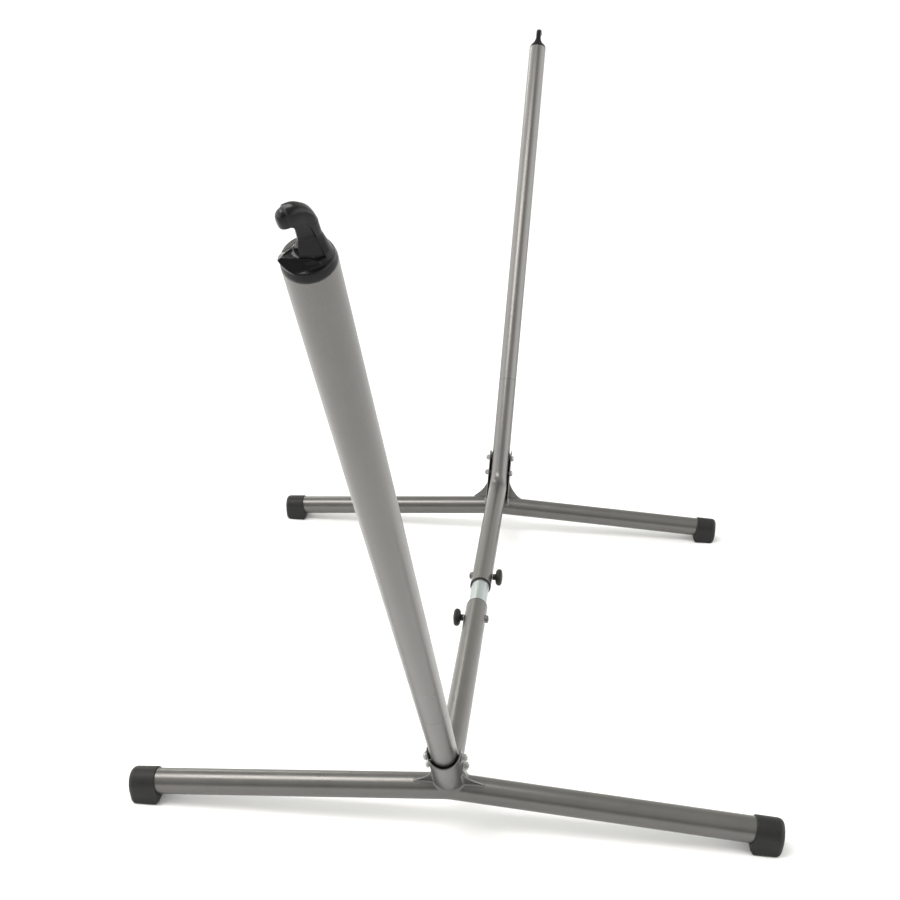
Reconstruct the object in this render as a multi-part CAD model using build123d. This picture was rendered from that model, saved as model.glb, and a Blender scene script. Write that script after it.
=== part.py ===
from build123d import *
import os
from math import cos, radians, sin, sqrt

# Free-standing hammock stand, in millimetres.
# +X runs along the stand's length towards its front end, +Y to the right, +Z up.
# The origin is on the floor, midway between the two feet.
# The rear half is the front half turned half a turn about Z; only the hooks are turned differently.

# Tubes
TUBE_R = 25.0             # outer radius of the feet, spine and arms
TUBE_WALL = 1.5
TUBE_BORE_R = TUBE_R - TUBE_WALL

# Feet: one cross tube each, bent at its middle so that only its ends stand on the floor
FOOT_X = 622.0            # from the stand's middle to the foot's middle
FOOT_Z = 76.0             # height of the foot's centre line at its middle
FOOT_DROP = 0.067         # fall of the centre line per millimetre of width
FOOT_SWEEP = 0.0135       # outward sweep of the centre line per millimetre of width
FOOT_HALF = 612.0         # half the width of the bare tube
FOOT_BEND_R = 150.0

# Elbow: spine half and lower arm in one bent tube, lying on the foot
SPINE_Z = 129.0
ELBOW_X = 640.4           # where the spine's and the arm's centre lines cross
ELBOW_BEND_R = 70.0
ARM_RAKE = radians(34.6)  # outward from vertical
ARM_LEAN = 0.0326         # sideways, towards the clamp knob's side, per millimetre of height
SEAM = 315.0              # along the arm, where the upper arm butts on the lower
SPIGOT_END = 435.0        # along the arm, end of the necked spigot inside the upper arm
SPIGOT_R = 23.4
ARM_END = 1394.0          # along the arm, end of the upper arm
SEAM_GAP = 0.2

# Telescopic middle
MOUTH_X = 51.0            # mouth of each outer tube
CLAMP_X = 99.4            # axis of each clamp screw
SPREADER_R = 21.0
SPREADER_WALL = 2.0
SPREADER_HALF = 231.0
SLOT_IN = 55.0            # the screw's slot runs between these distances from the middle
SLOT_OUT = 206.0
SLOT_W = 9.0
BUSH_LENGTH = 30.0
BUSH_LIP = 2.5
BUSH_CLEARANCE = 0.06
GLIDE_LENGTH = 15.0

# Clamp screw: moulded knob on a stud, through both tubes into a welded nut
STUD_R = 4.0
THREAD_CLEARANCE = 0.05
HOLE_R = 4.3
KNOB_R = 20.5
KNOB_FACE = 50.0          # distance of the knob's outer face from the tube's axis
KNOB_THICKNESS = 17.0
HUB_R = 7.5
HUB_END = 27.0
WASHER_SEAT = 25.3
WELD_NUT_HEIGHT = 6.0
WELD_NUT_AF = 15.0
STUD_END = 32.5

# Saddle bracket: a folded channel round the outside of the arm, welded on the foot
SADDLE_BORE_R = 28.8
SADDLE_WALL = 3.0
SADDLE_R = SADDLE_BORE_R + SADDLE_WALL
SADDLE_LIP = 91.0         # along the arm, top edge at the middle of the web
SADDLE_TOP = 104.0        # along the arm, top edge of the flanges
SADDLE_FLANGE = 9.0       # how far the flanges pass the arm's axis
SADDLE_FOOT = -50.0
BOLT_ALONG = (38.0, 82.0)
BOLT_OUT = 3.0            # offset of the bolts outward from the arm's axis
BOLT_R = 4.0
GUSSET_WALL = 3.0
GUSSET_HEIGHT = 48.0
GUSSET_REACH = 38.0

# Foot caps
CAP_R = 28.0
CAP_INNER = 568.5         # distance of the sleeve's mouth from the foot's middle, along the tube
CAP_LEAN = 5.5            # how much further in the mouth is below than above
CAP_OUTER = 626.0
CAP_HEEL = 569.5          # inner edge of the flat sole
CAP_TAPER = 2.0           # how far the outer end leans in towards the sole
CAP_SOLE_EDGE = 3.5       # rounding of the sole, of the outer end's top and of its sides
CAP_TOP_EDGE = 8.0
CAP_SIDE_EDGE = 12.0
CAP_FIT = 0.05            # radial clearance on the tube
CUT = 200.0               # size of the blocks that cut or keep a side of something

# Hooks: z along the arm from its end, x the way the hook opens
HOOK_TURN_FRONT = 235.0   # opening direction about the arm, from straight inward and up
HOOK_TURN_REAR = 180.0
PLUG_R = 23.4
PLUG_WALL = 3.5
PLUG_LENGTH = 35.0
COLLAR_HEIGHT = 9.2
COLLAR_EDGE = 5.0
LIP_REACH = 27.3          # pointed tip of the lip, out from the arm's axis
LIP_FOOT = 4.0            # height where the lip grows out of the collar
LIP_FLARE = 0.33          # overhang of the lip per millimetre of height
# Faces of the lip as (x, y, z, distance): a plane's outward normal and its distance. Each keeps
# what is below it, and those with y are used on both sides.
LIP_TOP = [(-0.136, 0.0, 0.991, 16.1), (-0.387, 0.0, 0.922, 13.92)]
LIP_SIDES = [(0.132, 0.665, 0.735, 18.3), (0.329, 0.583, 0.743, 21.6)]
DISH_DEPTH = 2.4
DISH = [(LIP_REACH - 6, 0), (8, 8), (0, 16), (-6, 19)]
STEM_OFFSET = -5.0
STEM_DEPTH = 10.0         # half the stem's size in the hook's plane
STEM_WIDTH = 8.0          # half the stem's size across it
STEM_FLAT = 0.3           # depth of the flat down the stem's front
FLARE_R = 22.5            # foot of the stem on the collar
WAIST_HEIGHT = 25.0
FLARE_TOP = 38.0
THROAT_FOOT = 27.0        # height below which the stem's front spreads
CURL_START = 46.0
CURL_R = 12.0
TIP_R = 10.6


# ---------------------------------------------------------------- places
FOOT_MIDDLE = Vector(FOOT_X, 0, FOOT_Z)
ELBOW = Vector(ELBOW_X, 0, SPINE_Z)
ARM_DIR = Vector(sin(ARM_RAKE), -ARM_LEAN * cos(ARM_RAKE), cos(ARM_RAKE)).normalized()
OUTWARD = Vector(cos(ARM_RAKE), 0, -sin(ARM_RAKE))
# Arm frame: x outward from the arm, y to the right, z along the arm from the elbow
ARM = Plane(origin=ELBOW, x_dir=OUTWARD, z_dir=ARM_DIR)


def on_arm(shape, along=0.0):
    """Place a shape built about Z on the arm's axis."""
    return ARM.location * Pos(0, 0, along) * shape


def rod(radius, start, end):
    """Cylinder about Z between two heights."""
    return Pos(0, 0, start) * Cylinder(radius, end - start, align=(Align.CENTER, Align.CENTER, Align.MIN))


def ring(outer, inner, start, end):
    return rod(outer, start, end) - rod(inner, start, end)


def along_x(shape):
    """Turn a shape built about Z so that its axis lies along +X at the spine's height."""
    return Pos(0, 0, SPINE_Z) * Rot(0, 90, 0) * shape


def across(shape, x):
    """Turn a shape built about Z so that its axis runs along +Y through the spine at x."""
    return Pos(x, 0, SPINE_Z) * Rot(-90, 0, 0) * shape


def bent_tube(points, bend, outer, inner):
    """Tube along straight runs joined by an arc."""
    path = FilletPolyline(*points, radius=bend)
    section = Plane(origin=path @ 0, z_dir=path % 0)
    return sweep(section * (Circle(outer) - Circle(inner)), path=path)


def foot_point(side, width):
    """Point on the foot's centre line, at a width to the right (+1) or the left (-1)."""
    return Vector(FOOT_X + FOOT_SWEEP * width, side * width, FOOT_Z - FOOT_DROP * width)


# ---------------------------------------------------------------- foot
def foot_tube():
    points = [foot_point(-1, FOOT_HALF), FOOT_MIDDLE, foot_point(1, FOOT_HALF)]
    return bent_tube(points, FOOT_BEND_R, TUBE_R, TUBE_BORE_R)


def foot_solid():
    """The middle of the foot without its bore, for fitting what is welded on it."""
    points = [foot_point(-1, 200), FOOT_MIDDLE, foot_point(1, 200)]
    path = FilletPolyline(*points, radius=FOOT_BEND_R)
    return sweep(Plane(origin=path @ 0, z_dir=path % 0) * Circle(TUBE_R + 0.05), path=path)


def foot_cap():
    """Right-hand cap: a sleeve on a thick block with a flat sole and a rounded outer end."""
    direction = (foot_point(1, 1) - FOOT_MIDDLE).normalized()
    frame = Plane(origin=FOOT_MIDDLE, x_dir=(1, 0, 0), z_dir=direction)
    # In this frame x is outward and y points down.
    section = Circle(CAP_R) + Pos(0, CAP_R) * Rectangle(2 * CAP_R, 2 * CAP_R)
    spare = frame.location * Pos(0, 0, CAP_INNER - 2 * CAP_LEAN)
    body = spare * extrude(section, CAP_OUTER - CAP_INNER + 3 * CAP_LEAN)
    axis_in = foot_point(1, CAP_INNER).Z
    above = axis_in + CAP_R + CAP_LEAN
    outline = [
        (CAP_INNER + CAP_LEAN, above),
        (CAP_INNER - CAP_LEAN, axis_in - CAP_R),
        (CAP_HEEL, 0),
        (CAP_OUTER - CAP_TAPER, 0),
        (CAP_OUTER, axis_in),
        (CAP_OUTER, above),
    ]
    beside = Plane.YZ.offset(FOOT_X - CUT / 2)
    body = body & extrude(beside * make_face(Polyline(*outline, close=True)), CUT)
    sole = body.edges().filter_by(lambda e: e.bounding_box().max.Z < 0.01)
    body = fillet(sole, CAP_SOLE_EDGE)
    # The outer end is rounded over the top and round both sides.
    end = foot_point(1, CAP_OUTER)
    top = end.Z + CAP_R
    over = Rectangle(CAP_OUTER, top, align=Align.MAX)
    over = beside * Pos(CAP_OUTER, top) * fillet(over.vertices(), CAP_TOP_EDGE)
    plan = Rectangle(2 * CAP_R + 1, CAP_OUTER, align=(Align.CENTER, Align.MAX))
    plan = Pos(end.X, CAP_OUTER) * fillet(plan.vertices(), CAP_SIDE_EDGE)
    sleeve_length = CAP_OUTER - CAP_INNER - 2 * CAP_TOP_EDGE
    sleeve = Pos(FOOT_X, CAP_INNER, 0) * Box(CUT, 2 * sleeve_length, CUT)
    body = body & extrude(plan, CUT)
    body = body & (extrude(over, CUT) + sleeve)
    bore_end = (foot_point(1, FOOT_HALF) - FOOT_MIDDLE).length + 0.5
    return body - frame.location * rod(TUBE_R + CAP_FIT, 0, bore_end)


# ---------------------------------------------------------------- arm
def lower_arm_tube():
    seam = ELBOW + ARM_DIR * SEAM
    tube = bent_tube([Vector(MOUTH_X, 0, SPINE_Z), ELBOW, seam], ELBOW_BEND_R, TUBE_R, TUBE_BORE_R)
    bore = SPIGOT_R - TUBE_WALL
    neck = ring(TUBE_BORE_R + 0.5, bore, SEAM - 12, SEAM - 1)
    spigot = ring(SPIGOT_R, bore, SEAM - 2, SPIGOT_END)
    tube = tube + on_arm(neck) + on_arm(spigot)
    tube = tube - across(rod(HOLE_R, -40, 40), CLAMP_X)
    for along in BOLT_ALONG:
        tube = tube - bolt_line(rod(BOLT_R + 0.2, -40, 40), along)
    return tube


def upper_arm_tube():
    return on_arm(ring(TUBE_R, TUBE_BORE_R, SEAM + SEAM_GAP, ARM_END))


# ---------------------------------------------------------------- saddle
def bolt_line(shape, along):
    """Turn a shape built about Z so that its axis runs along the bracket's +y at a bolt."""
    return on_arm(Pos(BOLT_OUT, 0, 0) * Rot(-90, 0, 0) * shape, along)


def channel(radius):
    """Section of the folded channel: a half round closed outward, open inward."""
    flange = Pos(-SADDLE_FLANGE / 2, 0) * Rectangle(SADDLE_FLANGE, 2 * radius)
    half = Circle(radius) & Pos(radius, 0) * Rectangle(2 * radius, 2 * radius)
    return flange + half


def saddle_bracket():
    inner = channel(SADDLE_BORE_R) + Pos(-SADDLE_FLANGE, 0) * Rectangle(SADDLE_FLANGE, 2 * SADDLE_BORE_R)
    body = extrude(channel(SADDLE_R) - inner, SADDLE_TOP - SADDLE_FOOT)
    body = Pos(0, 0, SADDLE_FOOT) * body
    reach = SADDLE_R + 5
    swoop = Polyline((-reach, SADDLE_TOP - 8), (-SADDLE_FLANGE, SADDLE_TOP - 8))
    rise = ThreePointArc(swoop @ 1, (-SADDLE_FLANGE + 2.4, SADDLE_TOP - 2.4), (-1, SADDLE_TOP))
    fall = ThreePointArc(rise @ 1, (SADDLE_R * 0.55, SADDLE_TOP - 5), (reach, SADDLE_LIP))
    over = Polyline(fall @ 1, (reach, SADDLE_TOP + 20), (-reach, SADDLE_TOP + 20), swoop @ 0)
    above = make_face([*swoop.edges(), *rise.edges(), *fall.edges(), *over.edges()])
    body = body - extrude(Plane.XZ.offset(60) * above, -120)
    body = on_arm(body) - foot_solid()
    for along in BOLT_ALONG:
        body = body - bolt_line(rod(BOLT_R + 0.2, -60, 60), along)
    return body.solids().sort_by(Axis.Z)[-1]


def saddle_gussets():
    """Two small plates that brace the channel's flanges on the foot."""
    foot_out = (FOOT_MIDDLE - ELBOW).dot(OUTWARD)
    foot_along = (FOOT_MIDDLE - ELBOW).dot(ARM_DIR)
    base = foot_along + TUBE_R
    start = sqrt(SADDLE_R**2 - (foot_out - GUSSET_WALL / 2) ** 2) + 0.1
    plates = []
    for side in (-1, 1):
        inner = side * start
        outer = side * (start + GUSSET_REACH)
        top = base + GUSSET_HEIGHT
        edge = ThreePointArc(
            (inner + side * 2, top),
            (inner + side * GUSSET_REACH * 0.42, base + GUSSET_HEIGHT * 0.42),
            (outer, base - 1),
        )
        rest = Polyline(edge @ 1, (outer, base - 22), (inner, base - 22), (inner, top), edge @ 0)
        face = make_face([*edge.edges(), *rest.edges()])
        plate = extrude(Plane.YZ.offset(foot_out - GUSSET_WALL / 2) * face, GUSSET_WALL)
        plate = on_arm(plate) - foot_solid()
        plates.append(plate.solids().sort_by(Axis.Z)[-1])
    return plates


def saddle_bolts():
    grip = SADDLE_R + 1.7
    bolts = []
    for along in BOLT_ALONG:
        head = (Pos(0, 0, -grip + 4.6) * Sphere(10.0)) & rod(8.2, -grip - 5.4, -grip)
        socket = extrude(Pos(0, 0, -grip - 6) * RegularPolygon(2.9, 6), 3.4)
        bolts.append(bolt_line(rod(BOLT_R, -grip - 1, grip + 8.6) + head - socket, along))
    return bolts


def saddle_nuts():
    start = SADDLE_R + 1.75
    nuts = []
    for along in BOLT_ALONG:
        blank = extrude(Pos(0, 0, start) * RegularPolygon(7.5, 6), 6.5)
        blank = blank & Pos(0, 0, start - 4.5) * Sphere(13.2) - rod(BOLT_R + THREAD_CLEARANCE, 0, 60)
        nuts.append(bolt_line(blank, along))
    return nuts


def saddle_washers():
    start = SADDLE_R + 0.1
    disc = ring(8.2, BOLT_R + 0.2, start, start + 1.5)
    other = ring(8.2, BOLT_R + 0.2, -start - 1.5, -start)
    return [bolt_line(w, along) for along in BOLT_ALONG for w in (disc, other)]


def saddle_spacers():
    """Sleeves on the bolts that hold the arm in the middle of the channel."""
    near = ring(6.0, BOLT_R + 0.2, TUBE_R + 0.05, SADDLE_BORE_R)
    far = ring(6.0, BOLT_R + 0.2, -SADDLE_BORE_R, -TUBE_R - 0.05)
    space = on_arm(extrude(channel(SADDLE_BORE_R - 0.1), SADDLE_TOP))
    return [bolt_line(s, along) & space for along in BOLT_ALONG for s in (near, far)]


# ---------------------------------------------------------------- telescopic middle
def guide_bush():
    bore = SPREADER_R + BUSH_CLEARANCE
    sleeve = ring(TUBE_BORE_R - 0.05, bore, MOUTH_X, MOUTH_X + BUSH_LENGTH)
    lip = ring(TUBE_R, bore, MOUTH_X - BUSH_LIP, MOUTH_X)
    return along_x(sleeve + lip)


def spreader_tube():
    tube = along_x(ring(SPREADER_R, SPREADER_R - SPREADER_WALL, -SPREADER_HALF, SPREADER_HALF))
    length = SLOT_OUT - SLOT_IN
    slot = extrude(SlotOverall(length, SLOT_W), 60, both=True)
    for side in (-1, 1):
        middle = side * (SLOT_IN + length / 2)
        tube = tube - Pos(middle, 0, SPINE_Z) * Rot(90, 0, 0) * slot
    return tube


def spreader_glide():
    """Plastic ring on the spreader's end that centres it in the outer tube."""
    end = SPREADER_HALF
    return along_x(ring(TUBE_BORE_R - 0.2, SPREADER_R + 0.05, end - GLIDE_LENGTH, end))


# ---------------------------------------------------------------- clamp (knob on the left)
def clamp_knob():
    inner = KNOB_FACE - KNOB_THICKNESS
    middle = KNOB_FACE - KNOB_THICKNESS / 2
    rim = 3.5
    profile = Polyline((0, HUB_END), (HUB_R, HUB_END), (HUB_R, inner - 0.5), (KNOB_R - 9, inner + 0.5))
    under = ThreePointArc(profile @ 1, (KNOB_R - 3.2, inner + 2.6), (KNOB_R, middle - rim / 2))
    edge = Line(under @ 1, (KNOB_R, middle + rim / 2))
    crown = ThreePointArc(edge @ 1, (KNOB_R - 4.6, KNOB_FACE - 3.1), (KNOB_R - 12, KNOB_FACE - 0.6))
    top = Polyline(crown @ 1, (0, KNOB_FACE), profile @ 0)
    outline = [*profile.edges(), *under.edges(), *edge.edges(), *crown.edges(), *top.edges()]
    body = revolve(Plane.XZ * make_face(outline), Axis.Z)
    body = body - rod(STUD_R + THREAD_CLEARANCE, HUB_END - 1, KNOB_FACE - 5)
    return across(Rot(180, 0, 0) * body, CLAMP_X)


def clamp_stud():
    stud = rod(STUD_R, -KNOB_FACE + 5.2, STUD_END)
    stud = chamfer(stud.edges().sort_by(Axis.Z)[-1], 0.9)
    return across(stud, CLAMP_X)


def clamp_washer():
    disc = ring(8.5, STUD_R + 0.2, -WASHER_SEAT - 1.5, -WASHER_SEAT)
    return across(disc, CLAMP_X)


def weld_nut():
    top = TUBE_R + WELD_NUT_HEIGHT
    blank = rod(9.5, TUBE_R - 3, TUBE_R + 1.6)
    blank = blank + extrude(Pos(0, 0, TUBE_R) * RegularPolygon(WELD_NUT_AF / 2, 6, major_radius=False),
                            WELD_NUT_HEIGHT)
    blank = blank & Pos(0, 0, top - 11.5) * Sphere(12.6)
    blank = across(blank - rod(STUD_R + THREAD_CLEARANCE, 0, 60), CLAMP_X)
    return blank - along_x(rod(TUBE_R + 0.05, 0, 200))


# ---------------------------------------------------------------- hook
def below(x, y, z, distance):
    """Block whose top lies in the plane with this normal and distance."""
    normal = Vector(x, y, z).normalized()
    block = Box(CUT, CUT, CUT, align=(Align.CENTER, Align.CENTER, Align.MAX))
    return Plane(origin=normal * distance, z_dir=normal).location * block


def hook_lip():
    """Pointed lip: two faces on each side rise to the rims, with a shallow dish between them."""
    foot = TUBE_R - 1.6
    height = LIP_REACH - LIP_FOOT
    lip = Pos(0, 0, LIP_FOOT) * Cone(foot, foot + LIP_FLARE * height, height,
                                     align=(Align.CENTER, Align.CENTER, Align.MIN))
    lip = lip & Pos(-STEM_DEPTH / 2, 0, 0) * Box(CUT, CUT, CUT, align=(Align.MIN, Align.CENTER, Align.CENTER))
    dish = extrude(make_face(Polyline(*DISH, *[(x, -y) for x, y in reversed(DISH[1:])], close=True)), CUT)
    for x, y, z, distance in LIP_TOP:
        lip = lip & below(x, y, z, distance)
        dish = dish - below(x, y, z, distance - DISH_DEPTH)
    for x, y, z, distance in LIP_SIDES:
        lip = lip & below(x, y, z, distance)
        lip = lip & below(x, -y, z, distance)
    return lip - dish


def hook(turn):
    """Push-in hook: hollow plug, domed collar, lip, flared stem and a curled bulb tip."""
    plug = ring(PLUG_R, PLUG_R - PLUG_WALL, -PLUG_LENGTH, 0.5)
    collar = fillet(rod(TUBE_R, 0, COLLAR_HEIGHT).edges().sort_by(Axis.Z)[-1], COLLAR_EDGE)

    oval = Ellipse(STEM_DEPTH, STEM_WIDTH)
    wide = Pos(0, 0, COLLAR_HEIGHT - 2) * Circle(FLARE_R)
    waist = Pos(STEM_OFFSET - 1, 0, WAIST_HEIGHT) * Ellipse(STEM_DEPTH * 1.4, STEM_WIDTH * 1.3)
    stem = loft([wide, waist, Pos(STEM_OFFSET, 0, FLARE_TOP) * oval])
    stem = stem + Pos(STEM_OFFSET, 0, FLARE_TOP) * extrude(oval, CURL_START - FLARE_TOP)
    front = STEM_OFFSET + STEM_DEPTH - STEM_FLAT
    outline = [
        (front, CURL_START),
        (front, THROAT_FOOT),
        (front + 3, COLLAR_HEIGHT + 5),
        (front + 8, COLLAR_HEIGHT),
        (CUT, COLLAR_HEIGHT),
        (CUT, CURL_START),
    ]
    beside = Plane.XZ.offset(CUT / 2)
    stem = stem - extrude(beside * make_face(Polyline(*outline, close=True)), -CUT)

    start = Vector(STEM_OFFSET, 0, CURL_START)
    end = Vector(STEM_OFFSET + CURL_R, 0, CURL_START + CURL_R)
    rise = CURL_R * (1 - cos(radians(45)))
    path = ThreePointArc(start, start + Vector(rise, 0, CURL_R * sin(radians(45))), end)
    curl = sweep(Pos(*start) * oval, path=path)
    tip = scale(Sphere(TIP_R), by=(0.95, STEM_WIDTH / TIP_R, 1.0))
    tip = Pos(end.X + 1, 0, end.Z) * tip
    body = plug + collar + hook_lip() + (stem + (curl + tip))
    # Turn zero opens inward and up, which is the arm frame's -x.
    return on_arm(Rot(0, 0, 180 - turn) * body, ARM_END)


# ---------------------------------------------------------------- assembly
def half(name, turn):
    """One half of the stand, built at the front."""
    cap = foot_cap()
    parts = {
        "foot_tube": foot_tube(),
        "right_foot_cap": cap,
        "left_foot_cap": mirror(cap, about=Plane.XZ),
        "saddle_bracket": saddle_bracket(),
        "saddle_gussets": saddle_gussets(),
        "saddle_bolts": saddle_bolts(),
        "saddle_nuts": saddle_nuts(),
        "saddle_washers": saddle_washers(),
        "saddle_spacers": saddle_spacers(),
        "lower_arm_tube": lower_arm_tube(),
        "upper_arm_tube": upper_arm_tube(),
        "hook": hook(turn),
        "guide_bush": guide_bush(),
        "spreader_glide": spreader_glide(),
        "clamp_knob": clamp_knob(),
        "clamp_stud": clamp_stud(),
        "clamp_washer": clamp_washer(),
        "weld_nut": weld_nut(),
    }
    return {f"{name}_{key}": value for key, value in parts.items()}


def swap_sides(key):
    """A half turn about Z puts the left cap on the right."""
    if "left" in key:
        return key.replace("left", "right")
    return key.replace("right", "left")


def turned(value):
    if isinstance(value, list):
        return [Rot(0, 0, 180) * v for v in value]
    return Rot(0, 0, 180) * value


def write(name, value):
    solids = [s for v in value for s in v.solids()] if isinstance(value, list) else value.solids()
    shape = solids[0] if len(solids) == 1 else Compound(children=list(solids))
    shape.label = name
    export_step(shape, f"parts/{name}.step")


def main():
    os.makedirs("parts", exist_ok=True)
    nodes = {"spreader_tube": spreader_tube()}
    nodes.update(half("front", HOOK_TURN_FRONT))
    nodes.update({swap_sides(k): turned(v) for k, v in half("rear", HOOK_TURN_REAR).items()})
    for name, value in nodes.items():
        write(name, value)


main()
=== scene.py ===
from math import cos, pi, radians, sin, sqrt, tan

import bmesh
import bpy
import numpy as np
from mathutils import Matrix


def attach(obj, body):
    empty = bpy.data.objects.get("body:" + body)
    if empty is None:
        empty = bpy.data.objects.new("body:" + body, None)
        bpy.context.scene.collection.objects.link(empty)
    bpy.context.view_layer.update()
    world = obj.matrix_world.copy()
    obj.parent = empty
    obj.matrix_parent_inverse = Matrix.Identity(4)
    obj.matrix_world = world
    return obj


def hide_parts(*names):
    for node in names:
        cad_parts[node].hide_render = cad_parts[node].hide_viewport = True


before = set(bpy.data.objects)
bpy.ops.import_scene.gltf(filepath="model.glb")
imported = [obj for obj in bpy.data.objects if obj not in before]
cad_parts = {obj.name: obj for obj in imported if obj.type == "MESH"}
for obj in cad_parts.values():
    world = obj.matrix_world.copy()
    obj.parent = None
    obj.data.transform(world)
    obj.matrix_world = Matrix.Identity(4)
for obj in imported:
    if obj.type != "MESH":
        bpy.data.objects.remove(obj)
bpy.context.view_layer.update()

# Millimetres, in the CAD's frame: +X along the stand, +Y to the right, +Z up.
TUBE_R, TUBE_BORE = 25.0, 23.5
FOOT_MIDDLE = np.array([622.0, 0.0, 76.0])
FOOT_DROP, FOOT_SWEEP, FOOT_HALF, FOOT_BEND = 0.067, 0.0135, 612.0, 150.0
ELBOW = np.array([640.4, 0.0, 129.0])
RAKE, LEAN = radians(34.6), 0.0326
ARM_Z = np.array([sin(RAKE), -LEAN * cos(RAKE), cos(RAKE)])
ARM_Z /= np.linalg.norm(ARM_Z)
ARM_X = np.array([cos(RAKE), 0.0, -sin(RAKE)])
ARM_Y = np.cross(ARM_Z, ARM_X)
ELBOW_BEND, SEAM, SEAM_GAP, SPIGOT_END, SPIGOT_R, ARM_END = 70.0, 315.0, 0.2, 435.0, 23.4, 1394.0
MOUTH_X, CLAMP_X = 51.0, 99.4
CLAMP_CENTRE = [CLAMP_X, 0, ELBOW[2]]
BUSH_BORE, BUSH_LIP, BUSH_LENGTH = 21.06, 2.5, 30.0
SADDLE_BORE, SADDLE_WALL, SADDLE_FLANGE = 28.8, 3.0, 9.0
SADDLE_MID = SADDLE_BORE + SADDLE_WALL / 2
SADDLE_R = SADDLE_BORE + SADDLE_WALL
BOLT_ALONG, BOLT_OUT, BOLT_R = (38.0, 82.0), 3.0, 4.0
THREAD_PITCH, THREAD_FALL = 1.25, 0.62
GUSSET_WALL, GUSSET_HEIGHT, GUSSET_REACH = 3.0, 48.0, 38.0
CAP_R, CAP_INNER, CAP_LEAN, CAP_OUTER, CAP_HEEL = 28.0, 568.5, 5.5, 626.0, 569.5
CAP_FLAT = 0.025           # how much the cap's straight sides stand in
HOOK_TURN = {"front": 235.0, "rear": 180.0}
X, Y, Z = np.eye(3)


# ---------------------------------------------------------------- numbers and meshes
def unit(v):
    v = np.asarray(v, float)
    return v / np.linalg.norm(v)


def half_turn(points):
    """The rear half is the front half turned half a turn about Z."""
    return points * np.array([-1.0, -1.0, 1.0])


def add_piece(name, points, faces, body, mat, stands_for=(), smooth_angle=40):
    """A mesh object from points in millimetres, riding on a CAD body."""
    mesh = bpy.data.meshes.new(name)
    mesh.from_pydata((np.asarray(points) * 0.001).tolist(), [], faces)
    bm = bmesh.new()
    bm.from_mesh(mesh)
    bmesh.ops.remove_doubles(bm, verts=bm.verts, dist=1e-7)
    bmesh.ops.recalc_face_normals(bm, faces=bm.faces)
    bm.to_mesh(mesh)
    bm.free()
    mesh.polygons.foreach_set("use_smooth", [True] * len(mesh.polygons))
    if smooth_angle:
        mesh.set_sharp_from_angle(angle=radians(smooth_angle))
    obj = bpy.data.objects.new(name, mesh)
    bpy.context.scene.collection.objects.link(obj)
    mesh.materials.append(mat)
    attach(obj, body)
    if stands_for:
        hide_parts(*stands_for)
    return obj


def grid_faces(rows, columns, wrap_rows=True):
    """Quads of a grid of points that closes on itself along its columns."""
    i, j = np.meshgrid(np.arange(rows if wrap_rows else rows - 1), np.arange(columns), indexing="ij")
    a, b = i % rows, (i + 1) % rows
    c, d = j, (j + 1) % columns
    quads = np.stack([a * columns + c, b * columns + c, b * columns + d, a * columns + d], -1)
    return quads.reshape(-1, 4).tolist()


def soften(points, radius, steps=4, closed=True):
    """Round the corners of a polygon, with a support point beside each arc."""
    points = [np.array(p, float) for p in points]
    count = len(points)
    out = []
    for i, here in enumerate(points):
        if not closed and i in (0, count - 1):
            out.append(here)
            continue
        before, after = points[i - 1], points[(i + 1) % count]
        u, v = unit(before - here), unit(after - here)
        angle = np.arccos(np.clip(u @ v, -1, 1))
        if angle > pi - 0.05:
            out.append(here)
            continue
        room = 0.42 * min(np.linalg.norm(before - here), np.linalg.norm(after - here))
        trim = min(radius / tan(angle / 2), room)
        r = trim * tan(angle / 2)
        centre = here + unit(u + v) * r / sin(angle / 2)
        start, end = here + u * trim - centre, here + v * trim - centre
        sweep = pi - angle
        out.append(centre + start + u * trim * 0.15)
        for k in range(steps + 1):
            f = k / steps
            out.append(centre + (sin((1 - f) * sweep) * start + sin(f * sweep) * end) / sin(sweep))
        out.append(centre + end + v * trim * 0.15)
    return np.array(out)


class Path:
    """Straight runs joined by one arc, as a function of the distance along them."""

    def __init__(self, points, bend=0.0):
        p = [np.array(q, float) for q in points]
        self.start, self.u = p[0], unit(p[1] - p[0])
        self.normal = unit(np.cross(self.u, Z if abs(self.u[2]) < 0.9 else X))
        self.length, self.arc = np.linalg.norm(p[-1] - p[0]), None
        if len(p) == 3:
            v = unit(p[2] - p[1])
            turn = np.arccos(np.clip(self.u @ v, -1, 1))
            self.normal = unit(np.cross(self.u, v))
            trim = bend * tan(turn / 2)
            self.first = np.linalg.norm(p[1] - p[0]) - trim
            self.arc = (bend, turn, bend * turn, np.cross(self.normal, self.u), v)
            self.length = self.first + bend * turn + np.linalg.norm(p[2] - p[1]) - trim

    def at(self, s):
        """Point and direction at a distance s."""
        if self.arc is None or s <= self.first:
            return self.start + self.u * s, self.u
        bend, turn, arc, side, v = self.arc
        corner = self.start + self.u * self.first
        a = min((s - self.first) / bend, turn)
        point = corner + bend * (sin(a) * self.u + (1 - cos(a)) * side)
        if s <= self.first + arc:
            return point, cos(a) * self.u + sin(a) * side
        return point + v * (s - self.first - arc), v

    def stations(self, start, end, straight=60.0, curved=3.0):
        """Distances along the path, closer together in the arc."""
        marks = [start]
        while marks[-1] < end - 1e-6:
            s = marks[-1]
            inside = self.arc is not None and self.first - 3 <= s < self.first + self.arc[2]
            step = curved if inside else straight
            if self.arc is not None and s < self.first - 3:
                step = min(step, self.first - 3 - s + 1e-6)
            marks.append(min(s + step, end))
        return marks


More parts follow.
